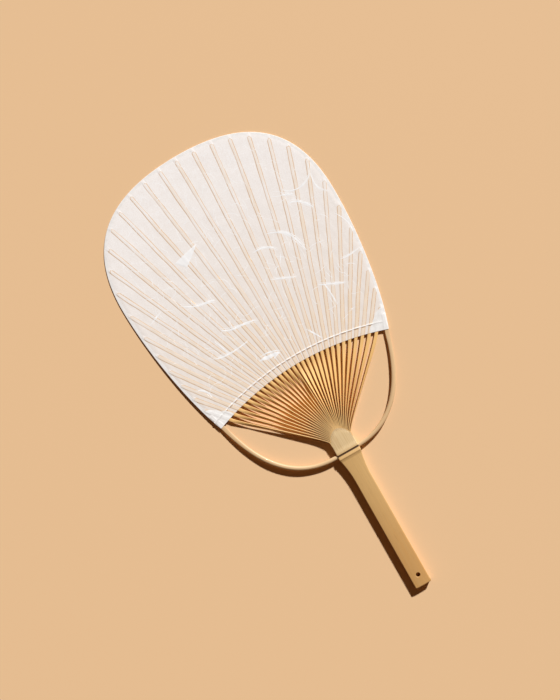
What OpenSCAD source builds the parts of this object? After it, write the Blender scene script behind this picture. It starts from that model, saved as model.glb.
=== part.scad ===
// Round fan of split bamboo and paper, lying flat with its front up.
// The origin is the centre of the hanging hole, on the plane that the fan lies on.
// +Y runs from the handle to the blade, and +Z is the front.

/* [Handle] */
// Length of the handle, from its square end to the line of the bow
handle_len = 111.5; // [90:0.5:140]
// Width of the grip
grip_w = 12.6; // [9:0.1:16]
// Thickness of the grip
grip_t = 5.4; // [5:0.1:7]
// Length of the shoulder, where the grip widens to the node
shoulder_len = 19.5; // [10:0.5:30]
// Small bevel on the corners of the square end
end_bevel = 0.8; // [0.2:0.1:2]
// Diameter of the hanging hole
hang_hole_d = 3.1; // [2:0.1:5]
// Distance from the square end to the centre of the hanging hole
hang_hole_edge = 8.5; // [6:0.5:14]

/* [Node and neck] */
// Width of the strip at the node and the neck
neck_w = 17.5; // [16.5:0.1:22]
// Thickness of the neck, above the node
neck_t = 4.4; // [3.6:0.1:5]
// Length of the neck at its sides, from the line of the bow to the first split
neck_side = 10.8; // [8:0.1:16]
// Rise of the arched line of the splits, from the sides to the middle
split_arch = 7.2; // [6.5:0.1:12]
// Width of the bamboo's node, the ridge across the front
ridge_w = 3.4; // [2:0.1:5]
// Height of the node's ridge over the grip
ridge_h = 0.45; // [0.2:0.05:0.8]
// Width of the dark groove beside the ridge
scar_w = 0.6; // [0.3:0.05:1]
// Depth of that groove
scar_d = 0.3; // [0.1:0.05:0.4]

/* [Ribs] */
// Number of ribs that the strip is split into
rib_count = 30; // [20:1:31]
// Width of a rib where it lies flat in the blade
rib_w = 2.4; // [1.8:0.1:3]
// Width of the cut between two ribs at the neck
split_gap = 0.03; // [0.02:0.01:0.06]
// Lean of the outermost ribs in the blade, in degrees
rib_lean = 40; // [32:0.5:45]
// Lean that they would have if all ribs spread as the middle ones do, in degrees
rib_lean_middle = 50; // [40:0.5:56]
// Stray of the middle ribs to the left, in degrees
rib_stray = 1.9; // [0:0.1:3]
// Shift of the middle ribs to the left, at the thread
rib_shift = 1.3; // [0:0.1:2]
// Share by which the ribs stand closer in the middle of the thread than at its ends
rib_crowding = 0.07; // [0:0.01:0.15]
// Distance along the thread's line from the outermost rib to the bow
rib_side_gap = 4.5; // [4:0.1:8]
// Straight length of a rib at the neck before it bends outward
rib_bend = 3; // [2:0.5:6]
// Length over which a rib settles into its lean below the paper
rib_settle = 12; // [6:1:20]
// Length of rib that lies flat before it goes under the paper
rib_flat_lead = 1.5; // [0.5:0.1:4]
// Distance along a rib from its tip to the edge of the paper
rib_tip_gap = 2.2; // [1:0.1:6]

/* [Bow] */
// Width of the bow
bow_w = 3.3; // [2.6:0.1:3.4]
// Clearance between the bow and its hole, all round
bow_fit = 0.1; // [0.05:0.05:0.2]
// Sideways pull of the left arm's bend, from the side of the handle
bow_reach = 51; // [42:1:60]
// How much less the right arm is pulled sideways
bow_slack = 4; // [0:0.5:6]
// Upright pull of both bends, below the thread
bow_rise = 13; // [8:1:30]
// Width of the bow's thin end at the thread
tongue_w = 2; // [1.6:0.1:2.4]
// Thickness of that end, which lies between the papers
tongue_t = 0.45; // [0.3:0.05:0.5]
// Distance from the edge of the paper to the middle of that end
tongue_inset = 2.1; // [2.1:0.1:3]
// Length of the end past the thread
tongue_len = 5; // [3:0.5:6]

/* [Thread] */
// Thickness of the thread
thread_d = 0.4; // [0.3:0.05:0.45]
// Distance from the edge of the paper up to the thread
thread_rise = 6.2; // [5:0.1:12]
// Clearance between the thread and what it lies on
thread_gap = 0.05; // [0.03:0.01:0.08]
// Turns that the thread makes round each end of the bow
tie_turns = 2; // [1:1:3]
// Distance from one of those turns to the next
tie_pitch = 0.85; // [0.8:0.05:0.9]

/* [Paper] */
// Distance from the line of the bow to the top of the blade
blade_top = 248.5; // [220:0.5:280]
// Greatest width of the blade
blade_w = 177.8; // [168:0.2:200]
// Distance from the line of the bow to the blade's widest place
blade_wide_y = 170.5; // [155:0.5:185]
// Width of the paper's lower edge, from corner to corner
corner_w = 142; // [132:0.5:152]
// Distance from the line of the bow to those corners
corner_y = 61; // [54:0.5:70]
// Rise of the lower edge, from its corners to its middle
edge_rise = 12.5; // [6:0.5:20]
// Lean of the whole blade to the left of the handle, in degrees
blade_lean = 1.3; // [0:0.1:3]
// Distance from the line of the bow to where the blade lies flat
flat_from = 138; // [120:1:160]
// Thickness of each paper
paper_t = 0.2; // [0.1:0.05:0.3]

/* [Edging] */
// Width of the strip of paper along the rim
rim_w = 2.2; // [1.5:0.1:4]
// Thickness of the rim strip and the ear patches
strip_t = 0.2; // [0.1:0.05:0.3]
// Radius of the round patch on each lower corner
ear_r = 14.5; // [8:0.5:20]
// Distance of the patch's centre up from the corner
ear_up = 3.5; // [1:0.5:6]
// Gap between the patch and the end of the rim strip
ear_gap = 0.1; // [0.05:0.05:0.3]

/* [Hidden] */
$fn = 64;

bamboo_tan = [0.80, 0.68, 0.45];
bow_tan = [0.90, 0.80, 0.60];
thread_white = [0.93, 0.92, 0.88];
washi_white = [0.95, 0.94, 0.91];
rim_white = [0.98, 0.98, 0.97];

// Heights over the middle of the blade
rib_pitch = neck_w / rib_count;
rib_t = rib_pitch - split_gap;
paper_z = rib_t / 2;
strip_z = paper_z + paper_t;
blade_half_t = strip_z + strip_t;

// Length by which a cut runs past what it cuts, and a short step along a curve
beyond = 1;
curve_bit = 0.001;

// Directions and places in the plane of the blade, measured from the line of the bow
function unit(v) = v / norm(v);
function lean(p) = [p[0] * cos(blade_lean) - p[1] * sin(blade_lean),
    p[0] * sin(blade_lean) + p[1] * cos(blade_lean)];
function mirrored(points) = [for (i = [len(points) - 1 : -1 : 0]) [-points[i][0], points[i][1]]];
function skip_first(points) = [for (i = [1 : len(points) - 1]) points[i]];

// A smooth curve from a to d, with b and c as its handles
function curve_at(a, b, c, d, u) =
    pow(1 - u, 3) * a + 3 * pow(1 - u, 2) * u * b + 3 * (1 - u) * u * u * c + pow(u, 3) * d;

// The right side of the blade runs in two curves from the lower corner to the top
curve_steps = 24;
corner = [corner_w / 2, corner_y];
widest = [blade_w / 2, blade_wide_y];
top = [0, blade_top];
corner_pull = [8.8, 21.9];
lower_pull = [0, 40];
upper_pull = [0, 54];
top_pull = [58.3, 0];
right_side = concat(
    [for (i = [0 : curve_steps - 1]) curve_at(corner, corner + corner_pull,
        widest - lower_pull, widest, i / curve_steps)],
    [for (i = [0 : curve_steps]) curve_at(widest, widest + upper_pull,
        top + top_pull, top, i / curve_steps)]);
outer_curve = concat(right_side, skip_first(mirrored(right_side)));

// A copy of an open line of points, moved inward by d
function inset(points, d) = [for (i = [0 : len(points) - 1])
    let (way = unit(points[min(i + 1, len(points) - 1)] - points[max(i - 1, 0)]))
    points[i] + d * [-way[1], way[0]]];

// The lower edge and the thread lie on circles round one centre, below the blade
edge_r = (corner[0] * corner[0] + edge_rise * edge_rise) / (2 * edge_rise);
arc_centre = [0, corner_y + edge_rise - edge_r];
thread_r = edge_r + thread_rise;
edge_steps = 30;
function arc_point(x, r) = [x, arc_centre[1] + sqrt(r * r - x * x)];
function paper_edge(half) = [for (i = [1 : edge_steps - 1])
    arc_point(half * (2 * i / edge_steps - 1), edge_r)];

// The blade droops from the line of the bow, and its outer part lies flat where the handle does
blade_z = grip_t / 2;
droop = asin((blade_z - blade_half_t) / flat_from);

// At the fold, what is past it turns up by the droop, and the cut between both parts halves the angle
function fold_y(z) = flat_from - z * tan(droop / 2);
function fold_up(p) = let (far = p[1] - flat_from)
    [p[0], flat_from + far * cos(droop) - p[2] * sin(droop), far * sin(droop) + p[2] * cos(droop)];

// The place where the bow's end crosses the thread, and the way it points there
bow_line = inset(outer_curve, tongue_inset);
function above_thread(p) = norm(p - arc_centre) - thread_r;
function crossing(i) = above_thread(bow_line[i]) > 0 ? i : crossing(i + 1);
tie_step = crossing(0);
tie_from = bow_line[tie_step - 1];
tie_to = bow_line[tie_step];
tie = tie_from - above_thread(tie_from) / (above_thread(tie_to) - above_thread(tie_from))
    * (tie_to - tie_from);
tie_way = unit(tie_to - tie_from);

// Where each rib leaves the neck, where it crosses the thread, and how it leans there
rib_row = tie[0] - rib_side_gap;
function spread(i) = (2 * i - (rib_count - 1)) / (rib_count - 1);
function row_x(t) = rib_row * ((1 - rib_crowding) * t + rib_crowding * pow(t, 3))
    - rib_shift * (1 - t * t);
function lean_of(t) = rib_lean_middle * t - (rib_lean_middle - rib_lean) * pow(t, 3)
    - rib_stray * (1 - t * t);
function split_y(x) = neck_side + split_arch * (1 - pow(2 * x / neck_w, 2));
function root_x(i) = (i - (rib_count - 1) / 2) * rib_pitch;
function rib_root(i) = [root_x(i), split_y(root_x(i))];
function rib_way(i) = let (a = lean_of(spread(i)) - blade_lean) [sin(a), cos(a)];
function rib_cross(i) = lean(arc_point(row_x(spread(i)), thread_r));

// The length of a rib past the thread: both its corners stop short of the paper's edge
leaned_curve = [for (p = outer_curve) lean(p)];
function ray_hits(p, way) = [for (i = [0 : len(leaned_curve) - 2])
    let (a = leaned_curve[i], side = leaned_curve[i + 1] - a, k = cross(way, side))
    if (k != 0) let (along = cross(a - p, side) / k, share = cross(a - p, way) / k)
    if (along > 0 && share >= 0 && share <= 1) along];
function rib_reach(i) = let (way = rib_way(i), out = [way[1], -way[0]] * rib_w / 2)
    min(concat(ray_hits(rib_cross(i) + out, way), ray_hits(rib_cross(i) - out, way))) - rib_tip_gap;

// A rib stands on edge at the neck and turns to lie flat before it goes under the paper
rib_steps = 10;
root_depth = 1.2;
rib_flat = thread_rise / cos(rib_lean) + rib_flat_lead;
function rib_land(i) = rib_cross(i) - rib_flat * rib_way(i);
function rib_line(i, u) = curve_at(rib_root(i), rib_root(i) + [0, rib_bend],
    rib_land(i) - rib_settle * rib_way(i), rib_land(i), u);
function rib_heading(i, u) = u >= 1 ? rib_way(i)
    : unit(rib_line(i, u + curve_bit) - rib_line(i, u));
function rib_turn(i, u) = 90 * (1 - u * u) * (spread(i) < 0 ? 1 : -1);

// One four-cornered ring of a rib, turned by a about the rib's own line
function rib_ring(p, way, a) = [for (c = [[-1, -1], [1, -1], [1, 1], [-1, 1]])
    let (w = c[0] * rib_w / 2, t = c[1] * rib_t / 2, across = w * cos(a) - t * sin(a))
    [p[0] + across * way[1], p[1] - across * way[0], w * sin(a) + t * cos(a)]];
function rib_tip(i) = rib_ring(rib_cross(i) + rib_reach(i) * rib_way(i), rib_way(i), 0);
function rib_fold(ring, way) = [for (p = ring)
    p + (fold_y(p[2]) - p[1]) / way[1] * [way[0], way[1], 0]];
function rib_end(ring, way) = min([for (p = ring) p[1]]) > flat_from
    ? [rib_fold(ring, way), [for (p = ring) fold_up(p)]] : [ring];
function rib_rings(i) = concat(
    [rib_ring(rib_root(i) - [0, root_depth], [0, 1], rib_turn(i, 0))],
    [for (k = [0 : rib_steps]) let (u = k / rib_steps)
        rib_ring(rib_line(i, u), rib_heading(i, u), rib_turn(i, u))],
    rib_end(rib_tip(i), rib_way(i)));

// A closed skin over a line of rings that have the same number of points
module skin(rings) {
    n = len(rings[0]);
    last = (len(rings) - 1) * n;
    sides = [for (k = [0 : len(rings) - 2], j = [0 : n - 1])
        let (a = k * n + j, b = k * n + (j + 1) % n) each [[a, b, b + n], [a, b + n, a + n]]];
    caps = [for (j = [1 : n - 2]) each [[0, j + 1, j], [last, last + j, last + j + 1]]];
    polyhedron(points = [for (r = rings) each r], faces = concat(sides, caps));
}

// The places where pieces are put: on the line of the bow, and in the drooping blade
bow_y = handle_len - hang_hole_edge;
module at_bow() {
    translate([0, bow_y, 0]) children();
}
module in_blade() {
    translate([0, bow_y, blade_z]) rotate([-droop, 0, 0]) children();
}
module in_leaned_blade() {
    in_blade() rotate([0, 0, blade_lean]) children();
}

// A plate of the blade with the plan of its children, from low to high over the blade's middle
fold_room = 2 * blade_top;
function fold_far(h) = let (q = fold_up([0, fold_room, h])) [q[1], q[2]];
module plate(low, high) {
    intersection() {
        linear_extrude(fold_room, center = true) children();
        rotate([90, 0, 90 - blade_lean]) linear_extrude(fold_room, center = true)
            polygon([[0, low], [fold_y(low), low], fold_far(low),
                fold_far(high), [fold_y(high), high], [0, high]]);
    }
}

// The strip seen from above: square end, grip, shoulder, neck and arched line of the splits
shoulder_steps = 10;
split_steps = 12;
function shoulder_point(s) = [grip_w / 2 + (neck_w - grip_w) / 2 * s * s,
    -ridge_w - shoulder_len * (1 - s)];
strip_right = concat(
    [[grip_w / 2 - end_bevel, -handle_len], [grip_w / 2, -handle_len + end_bevel]],
    [for (k = [0 : shoulder_steps]) shoulder_point(k / shoulder_steps)],
    [for (k = [0 : split_steps]) let (x = neck_w / 2 * (1 - k / split_steps)) [x, split_y(x)]]);
strip_plan = concat(strip_right, skip_first(mirrored(strip_right)));

// The strip seen from the side: ridge and groove of the node on the front, then a thinner neck
neck_step = (grip_t - neck_t) / 2;
neck_ramp = 3;
ridge_bevel = 0.4;
ramp_from = bow_w / 2;
ramp_to = ramp_from + neck_ramp;
neck_end = neck_side + split_arch + beyond;
strip_profile = [
    [-handle_len - beyond, 0], [ramp_from, 0], [ramp_to, neck_step], [neck_end, neck_step],
    [neck_end, grip_t - neck_step], [ramp_to, grip_t - neck_step], [ramp_from, grip_t],
    [scar_w / 2, grip_t], [scar_w / 2, grip_t - scar_d], [-scar_w / 2, grip_t - scar_d],
    [-scar_w / 2, grip_t + ridge_h], [-ridge_w + ridge_bevel, grip_t + ridge_h],
    [-ridge_w, grip_t], [-handle_len - beyond, grip_t]];

module strip_body() {
    intersection() {
        linear_extrude(grip_t + ridge_h) polygon(strip_plan);
        rotate([90, 0, 90]) linear_extrude(2 * neck_w, center = true) polygon(strip_profile);
    }
}

module split_bamboo() color(bamboo_tan) {
    difference() {
        at_bow() strip_body();
        translate([0, 0, -beyond]) cylinder(d = hang_hole_d, h = grip_t + 2 * beyond);
        in_leaned_blade() rotate([0, 90, 0])
            cylinder(d = bow_w + 2 * bow_fit, h = 2 * neck_w, center = true);
    }
    in_blade() for (i = [0 : rib_count - 1]) skin(rib_rings(i));
}

// The bow is a rod through the node, whose arms thin to flat tongues between the papers
bow_sides = 12;
arm_steps = 16;
tongue_start = 0.84;
tip_share = 0.6;
arm_root = [neck_w / 2, 0];
function arm_pull(side) = side > 0 ? bow_reach - bow_slack : bow_reach;
function arm_line(side, u) = curve_at(arm_root, arm_root + [arm_pull(side), 0],
    tie - bow_rise * tie_way, tie, u);
function arm_heading(side, u) = u >= 1 ? tie_way
    : unit(arm_line(side, u + curve_bit) - arm_line(side, u));
function arm_w(u) = bow_w - (bow_w - tongue_w) * max(0, (u - tongue_start) / (1 - tongue_start));
function arm_t(u) = bow_w - (bow_w - tongue_t) * pow(min(1, u / tongue_start), 2);
function bow_ring(p, way, w, t) = [for (k = [0 : bow_sides - 1]) let (a = 360 * (k + 0.5) / bow_sides)
    [p[0] + w / 2 * cos(a) * way[1], p[1] - w / 2 * cos(a) * way[0], t / 2 * sin(a)]];
function arm_rings(side) = concat(
    [for (k = [0 : arm_steps]) let (u = k / arm_steps)
        bow_ring(arm_line(side, u), arm_heading(side, u), arm_w(u), arm_t(u))],
    [bow_ring(tie + tongue_len * tie_way, tie_way, tip_share * tongue_w, tip_share * tongue_t)]);
left_arm = arm_rings(-1);
bow_rings = concat([for (i = [len(left_arm) - 1 : -1 : 0])
    [for (p = left_arm[i]) [-p[0], p[1], p[2]]]], arm_rings(1));

module bow() color(bow_tan) {
    in_leaned_blade() skin(bow_rings);
}

// The thread goes over one rib and under the next, and winds round both ends of the bow
thread_sides = 6;
thread_lift = rib_t / 2 + thread_d / 2 + thread_gap;
thread_room = thread_lift + thread_d / 2 + thread_gap;
function arc_spot(a, z) = [thread_r * sin(a), arc_centre[1] + thread_r * cos(a), z];
function row_angle(i) = asin(row_x(spread(i)) / thread_r);
function rib_cover(i) = (rib_w / 2 + thread_d / 2 + thread_gap)
    / cos(lean_of(spread(i)) - row_angle(i)) / thread_r * 180 / PI;
function over(i) = i % 2 == 0 ? thread_lift : -thread_lift;
function between(i) = (row_angle(i) + rib_cover(i) + row_angle(i + 1) - rib_cover(i + 1)) / 2;
woven = [for (i = [0 : rib_count - 1]) each concat(
    [arc_spot(row_angle(i) - rib_cover(i), over(i)), arc_spot(row_angle(i) + rib_cover(i), over(i))],
    i < rib_count - 1 ? [arc_spot(between(i), 0)] : [])];

// One turn after another round the bow's end, starting on its inner side
tie_steps = 8;
tie_reach = tongue_w / 2 + thread_d / 2 + 2 * thread_gap;
tie_lift = tongue_t / 2 + thread_d / 2 + 2 * thread_gap;
tie_across = [tie_way[1], -tie_way[0]];
function tie_point(k) = let (a = 180 + 360 * k / tie_steps,
        p = tie + tie_pitch * (k / tie_steps - tie_turns / 2) * tie_way
            + tie_reach * cos(a) * tie_across)
    [p[0], p[1], tie_lift * sin(a)];
right_tie = [for (k = [0 : tie_steps * tie_turns]) tie_point(k)];
left_tie = [for (k = [tie_steps * tie_turns : -1 : 0]) let (p = tie_point(k)) [-p[0], p[1], -p[2]]];
thread_path = concat(left_tie, woven, right_tie);

function thread_ring(i) = let (p = thread_path[i],
        way = unit(thread_path[min(i + 1, len(thread_path) - 1)] - thread_path[max(i - 1, 0)]),
        out = unit([p[0], p[1] - arc_centre[1], 0]),
        e = unit(out - (out * way) * way), f = cross(e, way))
    [for (k = [0 : thread_sides - 1]) let (a = 360 * k / thread_sides)
        p + thread_d / 2 * (cos(a) * e + sin(a) * f)];

module weaving_thread() color(thread_white) {
    in_leaned_blade() skin([for (i = [0 : len(thread_path) - 1]) thread_ring(i)]);
}

// The room round the thread that the papers leave, or with a wall the outside of their ridge
pocket_x = tie_reach + thread_d / 2 + thread_gap;
pocket_y = tie_pitch * tie_turns / 2 + thread_d / 2 + thread_gap;
row_half = atan2(tie[0], tie[1] - arc_centre[1]);
module thread_space(wall) {
    translate([0, arc_centre[1], 0]) rotate([0, 0, 90 - row_half])
        rotate_extrude(angle = 2 * row_half, $fn = 256) translate([thread_r, 0])
        circle(thread_room + wall, $fn = 24);
    for (side = [-1, 1]) translate([side * tie[0], tie[1], 0])
        rotate([0, 0, -side * atan2(tie_way[0], tie_way[1])])
        cube(2 * [pocket_x + wall, pocket_y + wall, thread_room + wall], center = true);
}

// A layer over the whole blade on one face, t thick on what is z high, with its rim moved inward by d
module layer(face, d, z, t) {
    rim = inset(outer_curve, d);
    plate(face > 0 ? z : -z - t, face > 0 ? z + t : -z) polygon(concat(rim, paper_edge(rim[0][0])));
}

// A paper on one face, laid over what is z high: flat, with a ridge over the thread
module sheet(face, d, z, t) {
    difference() {
        union() {
            layer(face, d, z, t);
            intersection() {
                thread_space(z - paper_z + t);
                layer(face, d, z, thread_room + t);
            }
        }
        thread_space(z - paper_z);
    }
}

module front_paper() color(washi_white) {
    in_leaned_blade() sheet(1, strip_t, paper_z, paper_t);
}

module back_paper() color(washi_white) {
    in_leaned_blade() sheet(-1, strip_t, paper_z, paper_t);
}

// The wall of paper round the outside of the rim
module rim_wall() {
    inner = inset(outer_curve, strip_t);
    turned = [for (i = [len(inner) - 1 : -1 : 0]) inner[i]];
    plate(-blade_half_t, blade_half_t) polygon(concat(outer_curve, turned));
}

module ear_disc(side, r) {
    way = unit(outer_curve[1] - corner);
    spot = corner + ear_up * way;
    translate([side * spot[0], spot[1], 0]) cylinder(r = r, h = 8 * blade_half_t, center = true);
}

module rim_strip() color(rim_white) {
    inner = inset(outer_curve, rim_w);
    turned = [for (i = [len(inner) - 1 : -1 : 0]) inner[i]];
    in_leaned_blade() difference() {
        union() {
            rim_wall();
            plate(strip_z, blade_half_t) polygon(concat(outer_curve, turned));
            plate(-blade_half_t, -strip_z) polygon(concat(outer_curve, turned));
        }
        for (side = [-1, 1]) ear_disc(side, ear_r + ear_gap);
    }
}

// A round patch folded over the rim, covering one end of the bow and its tie
module ear_patch(side) {
    in_leaned_blade() intersection() {
        union() {
            rim_wall();
            for (face = [-1, 1]) sheet(face, 0, strip_z, strip_t);
        }
        ear_disc(side, ear_r);
    }
}

module left_ear_patch() color(rim_white) {
    ear_patch(-1);
}

module right_ear_patch() color(rim_white) {
    ear_patch(1);
}

split_bamboo();
bow();
weaving_thread();
front_paper();
back_paper();
rim_strip();
left_ear_patch();
right_ear_patch();
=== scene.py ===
import math

import bpy
import numpy as np
from mathutils import Matrix, Vector


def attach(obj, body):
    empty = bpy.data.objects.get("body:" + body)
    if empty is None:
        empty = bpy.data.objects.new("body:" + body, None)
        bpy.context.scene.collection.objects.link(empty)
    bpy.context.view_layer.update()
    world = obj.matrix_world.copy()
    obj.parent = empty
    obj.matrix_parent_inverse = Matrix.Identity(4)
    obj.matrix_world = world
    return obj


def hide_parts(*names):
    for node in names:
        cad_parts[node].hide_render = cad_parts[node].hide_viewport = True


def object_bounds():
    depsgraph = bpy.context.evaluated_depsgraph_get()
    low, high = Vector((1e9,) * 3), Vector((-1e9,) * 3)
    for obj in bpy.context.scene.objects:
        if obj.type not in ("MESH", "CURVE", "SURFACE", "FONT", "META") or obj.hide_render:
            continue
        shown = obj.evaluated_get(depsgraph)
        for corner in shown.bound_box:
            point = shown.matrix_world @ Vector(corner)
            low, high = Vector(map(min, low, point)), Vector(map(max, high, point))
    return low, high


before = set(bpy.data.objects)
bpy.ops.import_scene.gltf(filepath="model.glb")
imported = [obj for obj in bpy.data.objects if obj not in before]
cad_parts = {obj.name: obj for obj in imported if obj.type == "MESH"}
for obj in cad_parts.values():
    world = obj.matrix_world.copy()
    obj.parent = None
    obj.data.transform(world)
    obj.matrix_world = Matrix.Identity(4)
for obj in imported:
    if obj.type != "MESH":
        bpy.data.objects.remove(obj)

cad_low, cad_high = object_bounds()
mm = 0.001


# The table, the lights and the camera.
# The fan lies on a plain pale table under one low lamp and a soft fill, and is seen from straight above
# with its blade leaning to the left.
view_height = 510 * mm
view_centre = (-6.9 * mm, 191.2 * mm)
view_turn = math.radians(29.5)
lens = 85
sensor = 36
lamp_side = (0.665, 0.511, 0.545)
lamp_angle = 4
lamp_strength = 5.35
lamp_colour = (0.95, 0.97, 1.0)
fill_strength = 0.085
fill_colour = (1.0, 0.5, 0.22, 1.0)
floor_size = 3


def srgb(red, green, blue):
    """A colour from its sRGB values of 0 to 255, by the standard's power law of 2.4."""
    share = np.array([red, green, blue]) / 255
    linear = np.where(share <= 0.04045, share / 12.92, ((share + 0.055) / 1.055) ** 2.4)
    return (*linear.tolist(), 1.0)


def feed(tree, socket, value):
    """Links an output to the socket, or sets the socket to a plain value."""
    if isinstance(value, bpy.types.NodeSocket):
        tree.links.new(value, socket)
    else:
        socket.default_value = value


def put(tree, kind, inputs=None, **settings):
    """Adds a node with these settings and these inputs, which are plain values or outputs."""
    made = tree.nodes.new(kind)
    for name, value in settings.items():
        setattr(made, name, value)
    for name, value in (inputs or {}).items():
        feed(tree, made.inputs[name], value)
    return made


def new_material(name, roughness, colour=(0.8, 0.8, 0.8, 1.0)):
    """A material with this roughness and colour, its node tree and its shader."""
    material = bpy.data.materials.new(name)
    material.use_nodes = True
    shader = material.node_tree.nodes["Principled BSDF"]
    shader.inputs["Roughness"].default_value = roughness
    shader.inputs["Base Color"].default_value = colour
    return material, material.node_tree, shader


def add_object(name, data):
    """An object with this data, put into the scene."""
    made = bpy.data.objects.new(name, data)
    bpy.context.scene.collection.objects.link(made)
    return made


scene = bpy.context.scene
scene.view_settings.view_transform = "Standard"

floor_mesh = bpy.data.meshes.new("floor")
half = floor_size / 2
floor_mesh.from_pydata([(-half, -half, 0), (half, -half, 0), (half, half, 0), (-half, half, 0)],
                       [], [(0, 1, 2, 3)])
floor_mesh.transform(Matrix.Translation((0, view_centre[1], cad_low.z - 0.02 * mm)))
floor = add_object("floor", floor_mesh)
floor_paint, _, _ = new_material("pale table", 0.75, srgb(233, 193, 146))
floor_mesh.materials.append(floor_paint)

lamp = bpy.data.lights.new("lamp", "SUN")
lamp.angle = math.radians(lamp_angle)
lamp.energy = lamp_strength
lamp.color = lamp_colour
lamp_object = add_object("lamp", lamp)
lamp_object.rotation_euler = Vector(lamp_side).to_track_quat("Z", "Y").to_euler()

world = bpy.data.worlds.new("fill")
world.use_nodes = True
scene.world = world
sky = world.node_tree
sky.nodes.clear()
rays = put(sky, "ShaderNodeLightPath")
fill = put(sky, "ShaderNodeBackground", {"Color": fill_colour, "Strength": fill_strength})
backdrop = put(sky, "ShaderNodeBackground", {"Color": srgb(238, 230, 218), "Strength": 1.0})
either = put(sky, "ShaderNodeMixShader",
             {0: rays.outputs["Is Camera Ray"], 1: fill.outputs[0], 2: backdrop.outputs[0]})
put(sky, "ShaderNodeOutputWorld", {"Surface": either.outputs[0]})

camera = bpy.data.cameras.new("camera")
camera.lens = lens
camera.sensor_width = sensor
camera_object = add_object("camera", camera)
camera_object.location = (*view_centre, view_height * lens / sensor)
camera_object.rotation_euler = (0, 0, -view_turn)
scene.camera = camera_object


# The bamboo strip: grip, node and neck.
# One flat strip cut from a bamboo stem. Its natural node is the ridge with a dark scar beside it, the bow's
# hole runs across under that ridge, and the grip has a drilled hole to hang the fan by.
handle_length = 111.5
bow_line = 103.0
grip_half = 6.3
neck_half = 8.75
shoulder = 19.5
grip_thick = 5.4
neck_thick = 4.4
neck_from = 1.2
neck_to = 5.2
ridge_wide = 3.4
ridge_high = 0.45
scar_deep = 0.3
crown = 0.28
edge_round = 0.55
end_cut = 0.8
end_bevel = 0.3
end_bevel_run = 0.45
end_chip = 0.3
node_swell = 0.12
split_side = 10.8
split_arch = 7.2
slit_most = 3.5
rib_count = 30
hang_hole = 3.1
bow_thick = 3.3
bow_fit = 0.1
blade_height = grip_thick / 2
skin_sharp = 38


def smooth(value, start, end):
    """0 before start, 1 after end, and between them the S-curve 3s^2 - 2s^3; start may lie after end."""
    share = np.clip((value - start) / (end - start), 0, 1)
    return share * share * (3 - 2 * share)


def grid_faces(rows, columns, closed=False):
    """Quads between each point of a grid and its neighbours; closed joins the last column to the first."""
    row = np.arange(rows - 1)[:, None] * columns
    here = np.arange(columns if closed else columns - 1)[None, :]
    there = (here + 1) % columns
    corners = [row + here, row + there, row + columns + there, row + columns + here]
    return np.stack(corners, -1).reshape(-1, 4)


def tube_faces(rings, around, flip=False, start=0):
    """Faces of a closed tube of rings with a face over each end; flip turns them over, start is added."""
    faces = grid_faces(rings, around, closed=True).tolist()
    faces += [list(range(around - 1, -1, -1)), [(rings - 1) * around + k for k in range(around)]]
    return [[start + k for k in (face[::-1] if flip else face)] for face in faces]


def shell_faces(rows, columns, flip=False):
    """Faces of a thin closed sheet: an outer grid and an inner grid turned over, joined round the rim."""
    outer = grid_faces(rows, columns)
    size = rows * columns
    index = np.arange(size).reshape(rows, columns)
    rim = np.concatenate([index[0, :-1], index[:-1, -1], index[-1, :0:-1], index[:0:-1, 0]])
    after = np.roll(rim, -1)
    wall = np.stack([after, rim, rim + size, after + size], -1)
    faces = np.concatenate([outer, outer[:, ::-1] + size, wall])
    return faces[:, ::-1] if flip else faces


def new_mesh(name, points, faces):
    """A mesh from points in mm and faces."""
    mesh = bpy.data.meshes.new(name)
    mesh.from_pydata((points.reshape(-1, 3) * mm).tolist(), [], [list(map(int, f)) for f in faces])
    return mesh


def shade(mesh, sharp):
    """Smooth shading, with edges kept at angles of more than sharp degrees."""
    mesh.shade_smooth()
    mesh.set_sharp_from_angle(angle=math.radians(sharp))


def add_piece(name, points, faces, material, slot, *nodes, sharp=50, **attributes):
    """A piece of the fan; attributes are single values or vectors for each point."""
    mesh = new_mesh(name, points, faces)
    mesh.materials.append(material)
    shade(mesh, sharp)
    for key, values in attributes.items():
        flat = np.asarray(values, np.float32).reshape(len(mesh.vertices), -1)
        kind, field = ("FLOAT", "value") if flat.shape[1] == 1 else ("FLOAT_VECTOR", "vector")
        mesh.attributes.new(key, kind, "POINT").data.foreach_set(field, flat.ravel())
    piece = add_object(name, mesh)
    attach(piece, "root")
    if nodes:
        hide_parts(*nodes)
    return piece


def maths(tree, operation, first, second=0.0):
    """A sum, product or other plain operation on two values or outputs."""
    return put(tree, "ShaderNodeMath", {0: first, 1: second}, operation=operation).outputs[0]


def product(tree, *values):
    """The product of several values or outputs."""
    result = values[0]
    for value in values[1:]:
        result = maths(tree, "MULTIPLY", result, value)
    return result


def band(tree, value, zero, one, climb="SMOOTHSTEP"):
    """A mask that climbs from 0 to 1 as value goes from zero to one."""
    return put(tree, "ShaderNodeMapRange", {"Value": value, "From Min": zero, "From Max": one},
               interpolation_type=climb).outputs[0]


def stripe(tree, value, low, first, last, high):
    """A mask that is 1 from first to last and sinks smoothly to 0 at low and at high."""
    return product(tree, band(tree, value, low, first), band(tree, value, high, last))


def contrast(tree, value, zero=0.32, one=0.68):
    """A noise with its middle values spread from 0 to 1."""
    return band(tree, value, zero, one, "LINEAR")


def noise(tree, place, scale, detail, roughness=0.5):
    """Fractal noise at a place."""
    inputs = {"Vector": place, "Scale": scale, "Detail": detail, "Roughness": roughness}
    return put(tree, "ShaderNodeTexNoise", inputs).outputs["Fac"]


def object_place(tree):
    """The place of each point, in metres."""
    return put(tree, "ShaderNodeTexCoord").outputs["Object"]


def split(tree, vector):
    """The three parts of a vector."""
    return put(tree, "ShaderNodeSeparateXYZ", {0: vector}).outputs


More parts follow.
